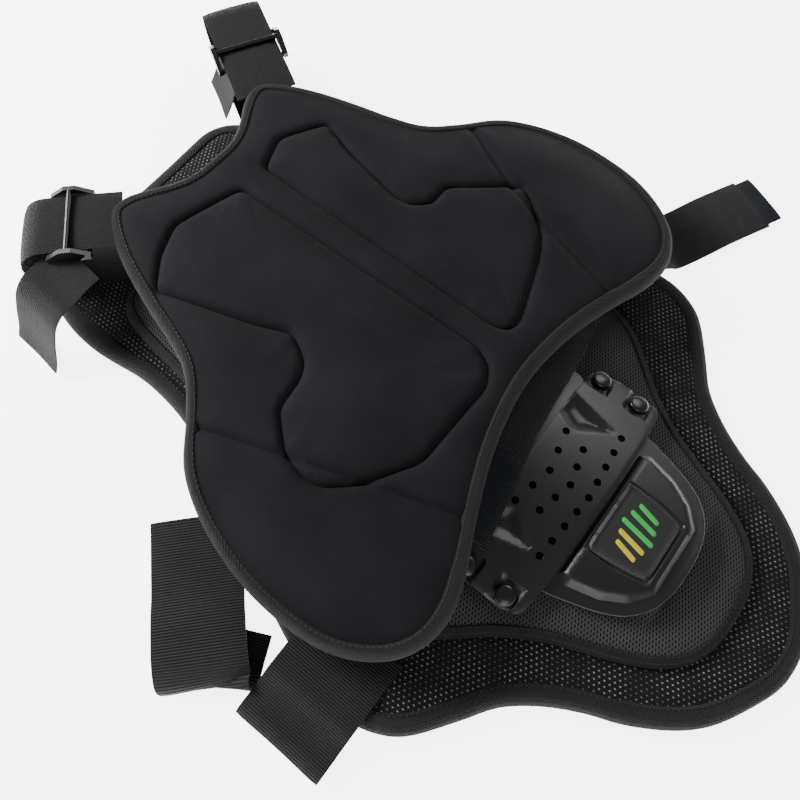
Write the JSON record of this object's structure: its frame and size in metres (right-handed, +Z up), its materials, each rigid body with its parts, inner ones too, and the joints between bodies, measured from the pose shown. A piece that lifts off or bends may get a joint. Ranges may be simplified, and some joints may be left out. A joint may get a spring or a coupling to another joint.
{
  "type": "back protector",
  "caption": "Motorcycle body-armour vest: plated back panel with a flexible tail, padded front panel folded over it, webbing shoulder straps with adjusters and elastic waist belts.",
  "frame": {"origin": "on the back panel's resting face, on its mirror line, between neck and tail", "axes": "+Z up from the resting face, +Y towards the shoulders, +X across the back"},
  "size_m": [0.556, 0.6118, 0.0663],
  "materials": {
    "lining": "matt smooth knit",
    "foam": "closed-cell foam",
    "mesh": "open spacer mesh",
    "ribbed_binding": "ribbed elastic tape",
    "overlay_knit": "fine knit mesh",
    "tape": "twill tape",
    "plate": "satin moulded polypropylene",
    "rivet": "gloss",
    "badge": "moulded soft badge with a plain green and yellow mark",
    "elastic": "ribbed woven elastic",
    "webbing": "woven webbing",
    "hook": "hook tape",
    "loop_fabric": "brushed loop fabric",
    "buckle": "gloss moulded acetal"
  },
  "bodies": {
    "back": {"back_lining": "lining", "back_pad": "foam", "back_cover": "mesh", "back_binding": "ribbed_binding", "back_overlay": "overlay_knit", "overlay_tape": "tape", "neck_plate": "plate", "upper_plate": "plate", "middle_plate": "plate", "lower_plate": "plate", "lumbar_plate": "plate", "plate_rivets": "rivet", "shoulder_web_left_back": "webbing", "shoulder_web_right_back": "webbing", "right_belt": "elastic", "left_belt": "elastic", "left_loop_root": "elastic"},
    "tail": {"tail_lining": "lining", "tail_pad": "foam", "tail_cover": "mesh", "tail_binding": "ribbed_binding", "tail_overlay": "overlay_knit", "tail_tape": "tape", "tail_plate": "plate", "tail_badge": "badge"},
    "front": {"front_cover": "mesh", "front_pad": "foam", "front_lining": "lining", "front_binding": "tape", "chest_plate_left": "plate", "chest_plate_right": "plate", "chest_rivets": "rivet", "front_belt": "elastic", "front_belt_hook": "hook", "shoulder_web_left_front": "webbing", "shoulder_web_right_front": "webbing"},
    "left_adjuster": {"tri_glide_left": "buckle"},
    "right_adjuster": {"tri_glide_right": "buckle"},
    "left_web_end": {"web_tail_left": "webbing"},
    "right_web_end": {"web_tail_right": "webbing"},
    "right_strap_end": {"right_tab": "loop_fabric", "right_tab_hook": "hook"},
    "left_strap_end": {"left_tab": "elastic", "left_tab_hook": "hook"},
    "left_loop": {"left_loop_belt": "elastic"}
  },
  "joints": [
    {"name": "vest_fold", "type": "hinge", "parent": "back", "child": "front", "pos_m": [0, 0.275, 0.038], "axis": [-1, 0, 0], "range_deg": [0, 178], "deforming": ["shoulder_web_left_back", "shoulder_web_right_back", "shoulder_web_left_front", "shoulder_web_right_front"]},
    {"name": "tail_flex", "type": "hinge", "parent": "back", "child": "tail", "pos_m": [0, -0.138, 0.039], "axis": [-1, 0, 0], "range_deg": [0, 15]},
    {"name": "left_adjuster_slide", "type": "slide", "parent": "front", "child": "left_adjuster", "axis": [-0.7071, 0.7071, 0], "range_m": [-0.008, 0.002]},
    {"name": "right_adjuster_slide", "type": "slide", "parent": "front", "child": "right_adjuster", "axis": [0.5, 0.866, 0], "range_m": [-0.012, 0.012]},
    {"name": "left_web_end_lift", "type": "hinge", "parent": "left_adjuster", "child": "left_web_end", "pos_m": [-0.101, 0.22609, 0.05], "axis": [0.0872, 0.9962, 0], "range_deg": [0, 60]},
    {"name": "right_web_end_lift", "type": "hinge", "parent": "right_adjuster", "child": "right_web_end", "pos_m": [0.13163, 0.2625, 0.049], "axis": [0.5, 0.866, 0], "range_deg": [0, 12]},
    {"name": "right_strap_lift", "type": "hinge", "parent": "back", "child": "right_strap_end", "pos_m": [0.22069, -0.07696, 0.0045], "axis": [-0.4226, -0.9063, 0], "range_deg": [0, 80]},
    {"name": "left_strap_lift", "type": "hinge", "parent": "back", "child": "left_strap_end", "pos_m": [-0.198, -0.072, 0.013], "axis": [0, 1, 0], "range_deg": [0, 75]},
    {"name": "left_loop_lift", "type": "hinge", "parent": "back", "child": "left_loop", "pos_m": [-0.18543, 0.02131, 0.0176], "axis": [-0.7193, 0.6947, 0], "range_deg": [0, 45]}
  ]
}
